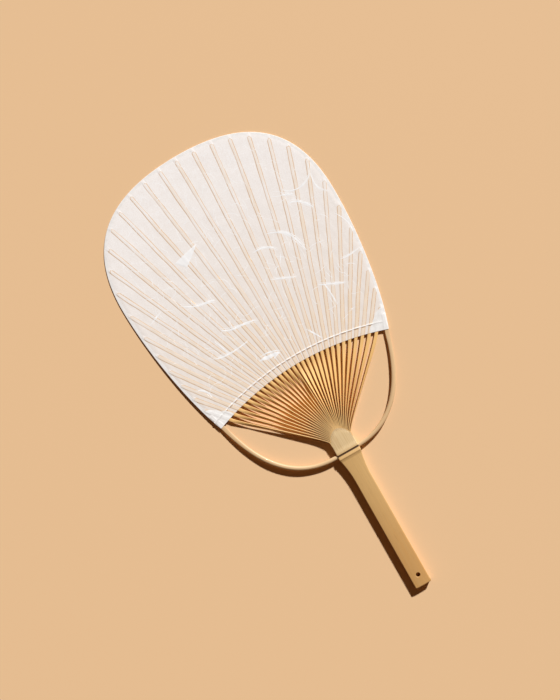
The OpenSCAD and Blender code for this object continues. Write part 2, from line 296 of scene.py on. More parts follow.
def mix(tree, share, first, second):
    """The colour between first and second, at a share that is a value or an output."""
    made = put(tree, "ShaderNodeMix", data_type="RGBA")
    for key, value in (("Factor_Float", share), ("A_Color", first), ("B_Color", second)):
        feed(tree, next(s for s in made.inputs if s.identifier == key), value)
    return next(s for s in made.outputs if s.identifier == "Result_Color")


def layered(tree, colour, *layers):
    """The colour with others laid over it; a layer is an sRGB colour and the factors of its mask."""
    for over, *mask in layers:
        colour = mix(tree, product(tree, *mask), colour, srgb(*over))
    return colour


def finish(tree, shader, colour, height, depth):
    """Gives the shader its colour, and raises the surface by height times depth, in mm."""
    raised = put(tree, "ShaderNodeBump", {"Height": height, "Distance": depth * mm, "Strength": 1.0})
    feed(tree, shader.inputs["Base Color"], colour)
    feed(tree, shader.inputs["Normal"], raised.outputs[0])


def new_group(name, inputs, outputs):
    """A shader node group with inputs of these kinds and outputs of single values, and its inputs."""
    group = bpy.data.node_groups.new(name, "ShaderNodeTree")
    for label, kind in inputs.items():
        group.interface.new_socket(label, in_out="INPUT", socket_type=kind)
    for label in outputs:
        group.interface.new_socket(label, in_out="OUTPUT", socket_type="NodeSocketFloat")
    return group, put(group, "NodeGroupInput").outputs


# Bamboo fibre: fine streaks that run along the stem, with a slow change of tone and dark specks over them
grain_group, grain_in = new_group(
    "bamboo fibre", {"Place": "NodeSocketVector", "Fine": "NodeSocketFloat"}, ("Streaks", "Tone", "Specks"))
streaks = noise(grain_group, grain_in["Place"], grain_in["Fine"], 5.0, 0.62)
specks = noise(grain_group, grain_in["Place"], 5.0, 1.0)
put(grain_group, "NodeGroupOutput", {
    "Streaks": contrast(grain_group, streaks),
    "Tone": noise(grain_group, grain_in["Place"], 0.35, 2.0),
    "Specks": contrast(grain_group, specks, 0.66, 0.74)})


def bamboo_grain(tree, place, stretch, fine):
    """The bamboo fibre's outputs at a place scaled by stretch."""
    stretched = put(tree, "ShaderNodeMapping", {"Vector": place, "Scale": stretch}).outputs[0]
    return put(tree, "ShaderNodeGroup", {"Place": stretched, "Fine": fine}, node_tree=grain_group).outputs


strip_paint, tree, shader = new_material("aged bamboo skin", 0.5)
place = object_place(tree)
grain = bamboo_grain(tree, place, (900, 22, 900), 2.2)
x, y, z = [maths(tree, "DIVIDE", part, mm) for part in split(tree, place)]
along = maths(tree, "SUBTRACT", y, bow_line)
slit_step = maths(tree, "DIVIDE", x, 2 * neck_half / rib_count)
slit_number = maths(tree, "ROUND", slit_step)
off_slit = maths(tree, "ABSOLUTE", maths(tree, "SUBTRACT", slit_step, slit_number))
slit_luck = put(tree, "ShaderNodeTexWhiteNoise", {"W": slit_number}, noise_dimensions="1D").outputs["Value"]
off_middle = maths(tree, "DIVIDE", x, neck_half)
arch = maths(tree, "SUBTRACT", split_side + split_arch, product(tree, off_middle, off_middle, split_arch))
slit_reach = product(tree, maths(tree, "ADD", slit_luck, 0.25), slit_most)
below_arch = band(tree, maths(tree, "SUBTRACT", arch, along), slit_reach, 0.0)
skin = mix(tree, band(tree, along, -12, -100), srgb(211, 168, 104), srgb(200, 145, 76))
skin = layered(
    tree, skin,
    ((231, 204, 156), band(tree, along, -1, 3)),
    ((190, 150, 94), grain["Streaks"], 0.55),
    ((214, 176, 122), grain["Tone"], 0.35),
    ((150, 108, 60), grain["Specks"], 0.3),
    # painted highlight: the node's ridge is painted paler where the lamp catches its top
    ((240, 196, 132), stripe(tree, along, -4.2, -3.2, -0.6, 0.1), 0.75),
    # painted shade: a darker band below the ridge, where the step down to the grip faces away from the lamp
    ((150, 112, 62), stripe(tree, along, -6.0, -4.4, -4.0, -3.2), 0.5),
    ((66, 34, 14), stripe(tree, along, -0.85, -0.6, 0.5, 0.8), band(tree, z, 3.5, 4.5), 0.95),
    ((134, 92, 48), band(tree, off_slit, 0.2, 0.05), below_arch, 0.75))
finish(tree, shader, skin, grain["Streaks"], 0.03)

# Rows along the strip, closer together at its end and at the node, and the section that they carry
row_y = np.concatenate([
    -handle_length + np.array([0, 0.06, 0.18, 0.35, 0.55, 0.8, 1.2, 1.8, 2.6]),
    np.linspace(-108, -25, 60), np.linspace(-23.5, -4.6, 22),
    np.array([-4.1, -3.7, -3.45, -3.3, -3.1, -2.6, -2.0, -1.4, -0.8, -0.5, -0.36, -0.3, -0.24, -0.12,
              0.12, 0.24, 0.3, 0.42, 0.7, 1.1, 1.65]),
    np.linspace(2.1, 7.5, 12)])
neck_rows = 12
corner_points = 6
top_points = 20


def strip_section(half_wide, low, high):
    """One closed section, from the lower left corner round by the right: flat sides with round corners.
    A corner is a quarter circle of radius edge_round, and the front bulges by crown times 1 - x^2."""
    turn = np.linspace(0, np.pi / 2, corner_points)
    quarter = edge_round * np.stack([np.sin(turn), 1 - np.cos(turn)], -1)
    inner = half_wide - edge_round
    under = np.stack([np.linspace(-inner, inner, top_points, endpoint=False), np.full(top_points, low)], -1)
    lower = np.array([inner, low]) + quarter
    upper = np.array([half_wide, high - edge_round]) + quarter[:, ::-1] * [-1, 1]
    over = np.stack([np.linspace(inner, -inner, top_points), np.full(top_points, high)], -1)
    section = np.concatenate([under, lower, upper, over[1:-1],
                              upper[::-1] * [-1, 1], lower[::-1] * [-1, 1]])
    bulge = crown * (1 - (section[:, 0] / half_wide) ** 2) * (section[:, 1] > (low + high) / 2)
    section[:, 1] += bulge - crown * (section[:, 1] > (low + high) / 2)
    return section


def strip_half(y):
    """Half width: straight grip, then a shoulder that widens as the square of the way to the node."""
    climb = np.clip((y + ridge_wide + shoulder) / shoulder, 0, 1)
    wide = grip_half + (neck_half - grip_half) * climb ** 2
    cut = np.clip(end_cut - (y + handle_length), 0, end_cut)
    return wide + node_swell * np.exp(-((y + 1.8) / 1.6) ** 2) - cut * 0.7


def strip_inset(y):
    """How far each face steps in: over the neck, and in a bevel at the square end."""
    return ((grip_thick - neck_thick) / 2 * smooth(y, neck_from, neck_to)
            + end_bevel * smooth(y, -handle_length + end_bevel_run, -handle_length))


def strip_top(y):
    """Front height: the ridge stands up between its bevels, the scar cuts in, and the neck steps down."""
    ridge = ridge_high * smooth(y, -ridge_wide - 0.35, -ridge_wide + 0.45) * smooth(y, -0.22, -0.36)
    scar = scar_deep * smooth(y, -0.34, -0.2) * smooth(y, 0.34, 0.2)
    return grip_thick + ridge - scar - strip_inset(y)


def split_line(x):
    """Where the strip is split into ribs: an arch over the neck."""
    return split_side + split_arch * (1 - (x / neck_half) ** 2)


rings = []
for y in row_y:
    section = strip_section(strip_half(y), strip_inset(y), strip_top(y))
    flare = end_chip * np.exp(-((y + handle_length - 1.3) / 0.9) ** 2)
    section[:, 0] += flare * smooth(section[:, 0], 4.5, grip_half)
    rings.append(np.stack([section[:, 0], np.full(len(section), y), section[:, 1]], -1))
neck_end = rings[-1]
neck_top = split_line(neck_end[:, 0]) + 0.5
for share in np.arange(1, neck_rows + 1) / neck_rows:
    ring = neck_end.copy()
    ring[:, 1] += share * (neck_top - neck_end[:, 1])
    ring[:, 2] = blade_height + (ring[:, 2] - blade_height) * (1 - 0.12 * smooth(share, 0.6, 1.0))
    rings.append(ring)
strip_points = np.stack(rings) + [0, bow_line, 0]


def cut_holes(piece, cutters, sharp):
    """Takes the cutters out of the piece with Blender's exact boolean, and leaves a plain mesh."""
    for cutter in cutters:
        tool = piece.modifiers.new("hole", "BOOLEAN")
        tool.operation = "DIFFERENCE"
        tool.solver = "EXACT"
        tool.object = cutter
    ready = piece.evaluated_get(bpy.context.evaluated_depsgraph_get())
    mesh = bpy.data.meshes.new_from_object(ready)
    piece.modifiers.clear()
    piece.data = mesh
    shade(mesh, sharp)
    for cutter in cutters:
        bpy.data.objects.remove(cutter)


def round_cutter(name, profile, sides=48):
    """A closed round tool about the z axis, from pairs of a radius and a height in mm."""
    turn = np.linspace(0, 2 * np.pi, sides, endpoint=False)
    points = np.stack([np.stack([r * np.cos(turn), r * np.sin(turn), np.full(sides, h)], -1)
                       for r, h in profile])
    return add_object(name, new_mesh(name, points, tube_faces(len(profile), sides)))


strip = add_piece("grip_and_neck", strip_points, tube_faces(*strip_points.shape[:2]), strip_paint,
                  "bamboo", "split_bamboo", sharp=skin_sharp)
hole_r = hang_hole / 2
hang_cutter = round_cutter("hang_cutter", [
    (hole_r + 0.9, -0.5), (hole_r + 0.25, -0.02), (hole_r, 0.25), (hole_r, grip_thick - 0.3),
    (hole_r + 0.25, grip_thick - 0.05), (hole_r + 0.9, grip_thick + 0.5)])
bow_cut_r = bow_thick / 2 + bow_fit
bow_cutter = round_cutter("bow_cutter", [(bow_cut_r, -12), (bow_cut_r, 12)])
blade_lean = math.radians(1.3)
bow_cutter.data.transform(Matrix.Translation((0, bow_line * mm, blade_height * mm))
                          @ Matrix.Rotation(blade_lean, 4, "Z") @ Matrix.Rotation(math.pi / 2, 4, "Y"))
cut_holes(strip, [hang_cutter, bow_cutter], skin_sharp)


# The ribs.
# The strip is split above the neck into thirty ribs, which spread, turn from standing on edge to lying flat,
# and run on between the papers to the rim. They are bare split bamboo, paler where the knife opened them.
rib_wide = 2.4
rib_thick = 2 * neck_half / rib_count - 0.03
rib_round = 0.13
root_wider = 1.7
root_sink = 3.0
blade_top = 248.5
blade_half = 88.9
blade_wide_y = 170.5
corner = np.array([71.0, 61.0])
edge_rise = 12.5
thread_rise = 6.2
rib_tip_gap = 2.2
rib_flat = thread_rise / math.cos(math.radians(40)) + 1.5
bow_inset = 2.1
row_inset = 4.5
row_crowding = 0.07
row_stray = 1.3
lean_stray = 1.9
droop = math.radians(0.84)
lying_height = 0.47
lying_bend = 0.3
rng = np.random.default_rng(7)


def curve(a, b, c, d, share):
    """Points of the cubic curve from a to d with handles b and c, at shares from 0 to 1."""
    s = np.asarray(share)[..., None]
    return (1 - s) ** 3 * a + 3 * (1 - s) ** 2 * s * b + 3 * (1 - s) * s * s * c + s ** 3 * d


# The outline of the blade, from the right corner over the top to the left corner
side_share = np.linspace(0, 1, 200)
widest = np.array([blade_half, blade_wide_y])
top = np.array([0, blade_top])
right_side = np.concatenate([
    curve(corner, corner + [8.8, 21.9], widest - [0, 40], widest, side_share[:-1]),
    curve(widest, widest + [0, 54], top + [58.3, 0], top, side_share)])
outline = np.concatenate([right_side, (right_side * [-1, 1])[-2::-1]])


def unit(vectors):
    """The same directions at length 1."""
    return vectors / np.linalg.norm(vectors, axis=-1, keepdims=True)


def tangents(points):
    """Unit vectors along a line of points, or along several, from each point's two neighbours."""
    return unit(np.gradient(points, axis=-2))


def right_of(way):
    """Plane vectors turned a quarter to the right."""
    return np.stack([way[..., 1], -way[..., 0]], -1)


def inset(points, distance):
    """The same line of points moved to the left of its way, which is inward on the outline."""
    return points - distance * right_of(tangents(points))


def run_along(points):
    """The distance of each point from the first, along a line of points or along several."""
    steps = np.linalg.norm(np.diff(points, axis=-2), axis=-1)
    return np.concatenate([0 * steps[..., :1], np.cumsum(steps, axis=-1)], axis=-1)


def raised(plane, height):
    """Plane points with their heights as the third value."""
    return np.concatenate([plane, height[..., None]], -1)


edge_r = (corner[0] ** 2 + edge_rise ** 2) / (2 * edge_rise)
arc_centre = np.array([0, corner[1] + edge_rise - edge_r])
thread_r = edge_r + thread_rise


def arc_point(x, radius):
    """The point at x on the circle of that radius round the arcs' centre."""
    return np.stack([x, arc_centre[1] + np.sqrt(radius ** 2 - x ** 2)], -1)


def past_thread(points):
    """How far points lie outside the thread's circle."""
    return np.linalg.norm(points - arc_centre, axis=-1) - thread_r


def cross2(a, b):
    """The cross product of two plane vectors."""
    return a[..., 0] * b[..., 1] - a[..., 1] * b[..., 0]


# The bow's end lies beside the outline and crosses the thread there
beside = inset(outline, bow_inset)
over_thread = past_thread(beside)
crossing = int(np.argmax(over_thread > 0))
tie_way = beside[crossing] - beside[crossing - 1]
tie = beside[crossing - 1] - over_thread[crossing - 1] / np.diff(over_thread)[crossing - 1] * tie_way
tie_way = unit(tie_way)


def row_x(t):
    """Where the rib at spread t, from -1 to 1, crosses the thread: crowded in the middle, strayed left."""
    return (tie[0] - row_inset) * ((1 - row_crowding) * t + row_crowding * t ** 3) - row_stray * (1 - t * t)


def lean_of(t):
    """The lean of that rib in the blade, in radians: 50t - 10t^3 degrees, with a stray to the left."""
    return np.radians(50 * t - 10 * t ** 3 - lean_stray * (1 - t * t))


spread = (2 * np.arange(rib_count) - (rib_count - 1)) / (rib_count - 1)
rib_cross = arc_point(row_x(spread), thread_r)
rib_way = np.stack([np.sin(lean_of(spread)), np.cos(lean_of(spread))], -1)
rib_out = right_of(rib_way)


def distance_to(line, starts, ways):
    """How far each ray runs from its start until it meets the line of points."""
    a = line[None, :-1]
    side = (line[1:] - line[:-1])[None]
    k = cross2(ways[:, None], side)
    run = cross2(a - starts[:, None], side) / k
    share = cross2(a - starts[:, None], ways[:, None]) / k
    run[(run < 1e-6) | (share < 0) | (share > 1)] = np.inf
    return run.min(axis=1)


rib_reach = np.minimum(distance_to(outline, rib_cross + rib_out * rib_wide / 2, rib_way),
                       distance_to(outline, rib_cross - rib_out * rib_wide / 2, rib_way)) - rib_tip_gap
def into_part(points, lean=blade_lean):
    """From the blade's own frame to the part's: turned by the lean, set on the bow and bent to lie flat.
    The middle drops by the droop along a line d over its lying height, and is (d + sqrt(d^2 + b^2)) / 2."""
    x, y = np.moveaxis(turned(points[..., :2], lean), -1, 0)
    drop = blade_height - lying_height - y * math.sin(droop)
    middle = lying_height + (drop + np.sqrt(drop ** 2 + lying_bend ** 2)) / 2
    return np.stack([x, bow_line + y, middle + points[..., 2]], -1)


def turned(points, angle):
    """Plane points turned counter-clockwise."""
    c, s = math.cos(angle), math.sin(angle)
    return np.stack([points[..., 0] * c - points[..., 1] * s, points[..., 0] * s + points[..., 1] * c], -1)


# Each rib is a section carried along a curve from the neck to where it lies flat, then straight on
bend_share = np.linspace(0, 1, 34)
tail_share = np.array([0.06, 0.3, 0.6, 0.9, 0.985, 1.0])
root_x = (np.arange(rib_count) - (rib_count - 1) / 2) * 2 * neck_half / rib_count
root = np.stack([root_x, split_line(root_x)], -1)
way_flat = turned(rib_way, blade_lean)
land = turned(rib_cross, blade_lean) - rib_flat * way_flat
bend = np.stack([curve(root[i], root[i] + [0, 3], land[i] - 12 * way_flat[i], land[i], bend_share)
                 for i in range(rib_count)])
tail_run = rib_flat + tail_share * rib_reach[:, None]
tail = land[:, None] + tail_run[..., None] * way_flat[:, None]
head = root[:, None] - np.array([root_sink, 0.4 * root_sink])[None, :, None] * np.array([0, 1])
line = np.concatenate([head, bend, tail], axis=1)
turn_share = np.concatenate([np.zeros(2), bend_share, np.ones(len(tail_share))])
wobble = rng.normal(0, 0.1, (rib_count, 1)) * np.sin(np.pi * turn_share)
out = right_of(tangents(line))
line = line + wobble[..., None] * out
turn = np.radians(90) * (1 - turn_share ** 2) * np.where(spread < 0, 1, -1)[:, None]
turn = turn + np.radians(rng.normal(0, 4, (rib_count, 1))) * np.sin(np.pi * turn_share) ** 2
wide = rib_wide * (1 + rng.normal(0, 0.02, (rib_count, 1))) + root_wider * (1 - smooth(turn_share, 0.0, 0.3))
thick = np.full(line.shape[:2], rib_thick)
wide[:, -2:] *= [0.9, 0.6]
thick[:, -1] *= 0.5
arc = np.linspace(0, np.pi / 2, 3)
unit_arc = np.stack([np.cos(arc), np.sin(arc)], -1)
quarters = np.concatenate([turned(unit_arc, k * np.pi / 2) for k in range(4)])
signs = np.repeat([[1, 1], [-1, 1], [-1, -1], [1, -1]], 3, axis=0)
across = (wide[..., None] / 2 - rib_round) * signs[:, 0] + rib_round * quarters[:, 0]
up = (thick[..., None] / 2 - rib_round) * signs[:, 1] + rib_round * quarters[:, 1]
c, s = np.cos(turn)[..., None], np.sin(turn)[..., None]
side = across * c - up * s
points = raised(line[:, :, None] + side[..., None] * out[:, :, None], across * s + up * c)
rings, around = points.shape[1:3]
faces = [face for i in range(rib_count) for face in tube_faces(rings, around, True, i * rings * around)]
rib_spacing = 17.0
grown = np.stack([across + rib_spacing * np.arange(rib_count)[:, None, None], up,
                  np.broadcast_to(run_along(line)[..., None], across.shape)], -1)


def marked(tree, name, output="Vector"):
    """What the mesh's attribute of this name holds at each point."""
    return put(tree, "ShaderNodeAttribute", attribute_name=name).outputs[output]


rib_paint, tree, shader = new_material("split bamboo", 0.55)
place = marked(tree, "grown")
grain = bamboo_grain(tree, place, (1.6, 1.6, 0.03), 1.4)
cut = mix(tree, band(tree, split(tree, place)[2], 4.0, 26.0), srgb(218, 178, 114), srgb(244, 196, 122))
cut = layered(tree, cut, ((214, 152, 74), grain["Streaks"], 0.55), ((248, 210, 146), grain["Tone"], 0.45))
finish(tree, shader, cut, grain["Streaks"], 0.02)
add_piece("ribs", into_part(points, 0), faces, rib_paint, "bamboo", "split_bamboo", grown=grown)


# The bow.
# A thin round rod of bamboo pushed through the node's hole. Both arms bend up, and each is shaved to a flat
# tongue that lies between the papers, where the thread ties it.
arm_share = np.linspace(0, 1, 90)
left_pull = 51
right_pull = 47
arm_rise = 13
hole_rings = 5
tongue_from = 0.84
tongue_wide = 2.0
tongue_thick = 0.45
tongue_run = 5.0
tongue_steps = np.array([1.0, 2.5, 4.0, 4.7, tongue_run])
bow_sides = 28
squareness = 0.86


def arm_line(pull):
    """One arm from the middle of the node: straight in the hole, a curve to the tie, a straight tongue."""
    start = np.array([neck_half, 0.0])
    inside = np.linspace(0, 1, hole_rings, endpoint=False)[:, None] * start
    bent = curve(start, start + [pull, 0], tie - arm_rise * tie_way, tie, arm_share)
    return np.concatenate([inside, bent, tie + tongue_steps[:, None] * tie_way])


def power_curve(value):
    """The value's size to the power of squareness, with its sign: it makes a circle a little squarer."""
    return np.sign(value) * np.abs(value) ** squareness


left_arm = arm_line(left_pull) * [-1, 1]
right_arm = arm_line(right_pull)
arm_share = np.concatenate([np.zeros(hole_rings), arm_share, np.ones(len(tongue_steps))])
shaved = np.clip((arm_share - tongue_from) / (1 - tongue_from), 0, 1)
arm_wide = bow_thick - (bow_thick - tongue_wide) * shaved
arm_thick = bow_thick - (bow_thick - tongue_thick) * np.minimum(1, arm_share / tongue_from) ** 2
arm_wide[-3:] *= [0.9, 0.75, 0.45]
arm_thick[-3:] *= [0.9, 0.8, 0.6]
bow_middle = np.concatenate([left_arm[:0:-1], right_arm])
bow_wide = np.concatenate([arm_wide[:0:-1], arm_wide])
bow_high = np.concatenate([arm_thick[:0:-1], arm_thick])
turn = np.linspace(0, 2 * np.pi, bow_sides, endpoint=False)
bow_out = right_of(tangents(bow_middle))
run = run_along(bow_middle)
uneven = 1 + 0.02 * np.sin(run / 9.0 + 1.0) + 0.015 * np.sin(run / 3.7)
across = (bow_wide / 2 * uneven)[:, None] * power_curve(np.cos(turn))
up = (bow_high / 2 * uneven)[:, None] * power_curve(np.sin(turn))
points = raised(bow_middle[:, None] + across[..., None] * bow_out[:, None], up)
grown = np.stack([across, up, np.broadcast_to(run[:, None], across.shape)], -1)

bow_paint, tree, shader = new_material("bow bamboo", 0.5)
grain = bamboo_grain(tree, marked(tree, "grown"), (1.1, 1.1, 0.025), 1.6)
rod = layered(tree, srgb(222, 187, 140), ((201, 156, 102), grain["Streaks"], 0.6),
              ((228, 198, 154), grain["Tone"], 0.5))
finish(tree, shader, rod, grain["Streaks"], 0.02)
shader.inputs["Coat Weight"].default_value = 0.08
add_piece("bow_rod", into_part(points), tube_faces(len(points), bow_sides, flip=True), bow_paint,
          "bow_bamboo", "bow", grown=grown)


# The thread.
# Two strands of white cotton twisted together. It runs over one rib and under the next just inside the
# papers' lower edge, and is wound twice round each end of the bow.
thread_thick = 0.28
thread_lift = rib_thick / 2 + thread_thick / 2
thread_sides = 10
twist_pitch = 1.1
tie_turns = 2
tie_pitch = 0.6
row_angle = np.arcsin(row_x(spread) / thread_r)
cover = (rib_wide / 2 + 0.2) / np.cos(lean_of(spread) - row_angle) / thread_r
over = np.where(np.arange(rib_count) % 2 == 0, 1, -1) * thread_lift
weave_angle = np.stack([row_angle - cover, row_angle + cover], -1).ravel()
weave_high = np.repeat(over, 2)


def thread_height(angle, face=1):
    """Height of the thread's middle at an angle round the arcs' centre, as seen from one face."""
    return face * np.interp(angle, weave_angle, weave_high)


fine_angle = np.linspace(weave_angle[0], weave_angle[-1], 900)
weave = np.stack([thread_r * np.sin(fine_angle), arc_centre[1] + thread_r * np.cos(fine_angle),
                  thread_height(fine_angle)], -1)
wind = np.linspace(0, tie_turns, 60)
wind_side = (tongue_wide / 2 + thread_thick / 2) * np.cos(np.pi + 2 * np.pi * wind)
wind_up = (tongue_thick / 2 + thread_thick / 2) * np.sin(np.pi + 2 * np.pi * wind)
wind_plane = (tie + (tie_pitch * (wind - tie_turns / 2))[:, None] * tie_way
              + wind_side[:, None] * right_of(tie_way))
right_tie = raised(wind_plane, wind_up)
left_tie = (right_tie * [-1, 1, -1])[::-1]
thread_line = np.concatenate([left_tie, weave, right_tie])
way = tangents(thread_line)
beside_way = unit(np.cross([0, 0, 1.0], way))
upward = np.cross(way, beside_way)
turn = np.linspace(0, 2 * np.pi, thread_sides, endpoint=False)
lobes = 0.82 + 0.18 * np.abs(np.cos(turn - 2 * np.pi * run_along(thread_line)[:, None] / twist_pitch))
radius = thread_thick / 2 * lobes
points = (thread_line[:, None] + (radius * np.cos(turn))[..., None] * beside_way[:, None]
          + (radius * np.sin(turn))[..., None] * upward[:, None])


def mottled(name, roughness, scale, detail, dark, light, depth):
    """A material mottled between two sRGB colours and raised by one noise, and its shader."""
    material, tree, shader = new_material(name, roughness)
    fuzz = noise(tree, object_place(tree), scale, detail)
    finish(tree, shader, mix(tree, fuzz, srgb(*dark), srgb(*light)), fuzz, depth)
    return material, shader


cotton, shader = mottled("cotton thread", 0.9, 4000.0, 3.0, (228, 224, 212), (246, 244, 238), 0.03)
shader.inputs["Sheen Weight"].default_value = 0.3
add_piece("thread", into_part(points), tube_faces(len(points), thread_sides), cotton, "cotton_thread",
          "weaving_thread")


# The two papers.
# Mulberry paper pasted on both faces of the ribs and, round the rim, to each other. It is thin enough to show
# each rib as a warm stripe with darker sides, which are partly painted shade in the creases at the rib's
# edges.
# It rises in a bright line over the thread that is partly a painted highlight, with a painted shadow on the
# ribs just below it.
paper_thick = 0.13
valley = 0.07
band_valley = 0.1
drape = 0.6
rim_height = 0.15
rim_fall = 4.6
rib_fall = 2.3
ridge_least = 0.15
ridge_half = 0.42
wander_most = 0.16
tongue_cover = 0.12
tongue_tent = 1.1
patch_press = 0.08
ripple_high = 0.13
ripple_count = 16
ripple_way = rng.uniform(0, np.pi, ripple_count)
ripple_size = rng.uniform(4, 20, ripple_count)
ripple_start = rng.uniform(0, 2 * np.pi, (2, ripple_count))
wave_size = np.array([83.0, 41.0, 23.0, 11.0])
wave_share = np.array([0.5, 0.4, 0.3, 0.15])
wave_start = rng.uniform(0, 2 * np.pi, (2, 6, rib_count, len(wave_size)))
rib_luck = rng.uniform(0, 1, (2, 4, rib_count))
tip_back = rng.uniform(0, 1.6, rib_count)


def ripple(points, face):
    """Slow waves of the paper: the mean of sines with chosen lengths, directions and starts."""
    inner = points[..., :1] * np.cos(ripple_way) + points[..., 1:] * np.sin(ripple_way)
    return np.sin(2 * np.pi * inner / ripple_size + ripple_start[(1 - face) // 2]).mean(-1)


def along_rib(run, face, kind):
    """A slow random change along each rib, mostly within -1 to 1: a sum of four sines."""
    starts = wave_start[(1 - face) // 2, kind]
    return (np.sin(2 * np.pi * run[..., None] / wave_size + starts) * wave_share).sum(-1)


def from_ribs(points, face):
    """For each point, its distance across every rib's wandering middle, and its way along that rib."""
    off = points.reshape(-1, 1, 2) - rib_cross
    run = (off * rib_way).sum(-1)
    across = cross2(off, rib_way) - wander_most * along_rib(run, face, 0)
    return across / (0.96 + 0.1 * along_rib(run, face, 1)), run


def from_rim(flat):
    """Distance of each plane point to the nearest of the outline's points."""
    rim = outline[::2]
    squares = (flat ** 2).sum(-1)[:, None] - 2 * flat @ rim.T + (rim ** 2).sum(-1)
    return np.sqrt(np.maximum(squares.min(axis=1), 0))


def paper_height(points, face):
    """Height of a paper's outer side over the middle of the blade, at plane points of any shape.
    It is highest on a rib, sinks by valley between ribs and to the other paper at the rim, and is lifted
    by the thread and the bow's end."""
    flat = points.reshape(-1, 2)
    across, run = from_ribs(points, face)
    on_rib = (smooth(np.abs(across), rib_wide / 2 + drape / 2, rib_wide / 2 - drape / 2)
              * smooth(run, rib_reach + 1.5, rib_reach - 0.5)).max(axis=1)
    radial = past_thread(flat)
    depth = valley + (band_valley - valley) * smooth(radial, 1.0, -1.5)
    height = rib_thick / 2 + paper_thick - depth * (1 - on_rib)
    height = height + ripple_high * ripple(flat, face) * (1 - 0.7 * on_rib)
    rim = from_rim(flat)
    fall = on_rib * smooth(rim, rib_fall, 0.4) + (1 - on_rib) * smooth(rim, rim_fall, 0.3)
    height = height + (rim_height - height) * fall
    angle = np.arctan2(flat[:, 0], flat[:, 1] - arc_centre[1])
    lifted = thread_height(angle, face) + thread_thick / 2 + paper_thick
    height = height + np.exp(-(radial / ridge_half) ** 2) * np.maximum(lifted - height, ridge_least)
    tongue_top = tongue_thick / 2 + paper_thick + tongue_cover
    for mirror in (1, -1):
        from_tie = flat * [mirror, 1] - tie
        run = (from_tie * tie_way).sum(-1)
        off = np.abs(cross2(from_tie, tie_way)) - tongue_wide / 2 - 0.65 * np.clip(-run / 6.5, 0, 1)
        on_tongue = np.clip(1 - off / tongue_tent, 0, 1) * smooth(run, tongue_run + 1.5, tongue_run)
        height = np.maximum(height, rim_height + (tongue_top - rim_height) * on_tongue)
    return height.reshape(points.shape[:-1])


# Columns of the paper follow the ribs: some at fixed places across each rib, some in each gap between
rib_places = np.array([-1.75, -1.5, -1.25, -1.0, -0.7, -0.35, 0, 0.35, 0.7, 1.0, 1.25, 1.5, 1.75])[:, None]
gap_shares = np.array([[0.33], [0.67]])
paper_rim = inset(outline, 0.15)


def with_gaps(columns):
    """The columns of all ribs in order, with more in each gap between two ribs."""
    between = columns[:-1, -1:] * (1 - gap_shares) + columns[1:, :1] * gap_shares
    return np.concatenate([np.concatenate([columns[:-1], between], axis=1).reshape(-1, 2), columns[-1]])


starts = with_gaps(rib_cross[:, None] + rib_places * rib_out[:, None])
ways = unit(with_gaps(rib_way[:, None] * np.ones_like(rib_places)))


def to_circle(starts, ways, radius):
    """How far each line runs from its start, back or forth, to the circle round the arcs' centre."""
    off = starts - arc_centre
    half_b = (off * ways).sum(-1)
    return -half_b + np.sqrt(half_b ** 2 - (off ** 2).sum(-1) + radius ** 2)


to_edge = to_circle(starts, ways, edge_r)
to_thread = to_circle(starts, ways, thread_r)
to_rim = distance_to(paper_rim, starts, ways)
ridge_places = np.array([-1.3, -0.9, -0.6, -0.4, -0.2, 0, 0.2, 0.4, 0.6, 0.9, 1.3])[:, None]
below = np.linspace(0, 1, 6)[:-1, None]
above = np.linspace(0, 1, 84)[1:, None]
runs = np.concatenate([
    to_edge + (to_thread + ridge_places[0] - to_edge) * below,
    to_thread + ridge_places,
    to_thread + ridge_places[-1] + (to_rim - to_thread - ridge_places[-1]) * above])
paper_grid = starts + runs[..., None] * ways


def corner_columns(outer, side, count=7):
    """More columns from the outermost one to the corner: straight from the lower edge to the rim,
    with the rows spaced as on the outermost column."""
    rows = np.linalg.norm(outer - outer[0], axis=-1)
    rows = rows / rows[-1]
    rim = paper_rim if side > 0 else paper_rim[::-1]
    last = int(np.argmin(np.linalg.norm(rim - outer[-1], axis=-1)))
    tips = rim[np.linspace(last, 1, count + 1).astype(int)[1:]]
    feet = arc_point(np.linspace(outer[0, 0], rim[0, 0], count + 1)[1:], edge_r)
    feet[-1] = rim[0]
    return feet + rows[:, None, None] * (tips - feet)


right_corner = corner_columns(paper_grid[:, -1], 1)
left_corner = corner_columns(paper_grid[:, 0], -1)[:, ::-1]
paper_grid = np.concatenate([left_corner, paper_grid, right_corner], axis=1)


def paper_marks(face):
    """What the paint of a paper needs to know at each point of the grid, from the nearest rib: how far it
    is and how far along, and how strongly the middle and this side of its stripe show."""
    across, run = from_ribs(paper_grid, face)
    luck = rib_luck[(1 - face) // 2] - 0.5
    nearest = np.abs(across).argmin(axis=1)
    pick = np.arange(len(run)), nearest
    side = np.sign(across)
    middle = 0.75 - 0.45 * smooth(run, 15, 60) + 0.3 * along_rib(run, face, 2) + 0.5 * luck[0]
    edge = (0.95 + 0.15 * along_rib(run, face, 3) + 0.35 * side * along_rib(run, face, 4)
            + 0.5 * luck[1] + 0.3 * side * luck[2])
    gap = np.abs(across) + 3 * smooth(run - rib_reach + tip_back, -0.5, 1.0)
    return {"rib_near": np.stack([gap[pick], run[pick], nearest], -1),
            "middle_shows": np.clip(middle, 0, 1)[pick], "edge_shows": np.clip(edge, 0.1, 1.4)[pick],
            "off_thread": past_thread(paper_grid)}


# Paper fibre: clouds of thicker and thinner pulp, and a fine tooth
pulp_group, pulp_in = new_group("paper pulp", {"Place": "NodeSocketVector"}, ("Clouds", "Tooth"))
put(pulp_group, "NodeGroupOutput", {
    label: contrast(pulp_group, noise(pulp_group, pulp_in["Place"], scale, 3.0, 0.65))
    for label, scale in (("Clouds", 330.0), ("Tooth", 1300.0))})


def paper_pulp(tree):
    """The paper pulp's outputs at each point's place."""
    return put(tree, "ShaderNodeGroup", {"Place": object_place(tree)}, node_tree=pulp_group).outputs


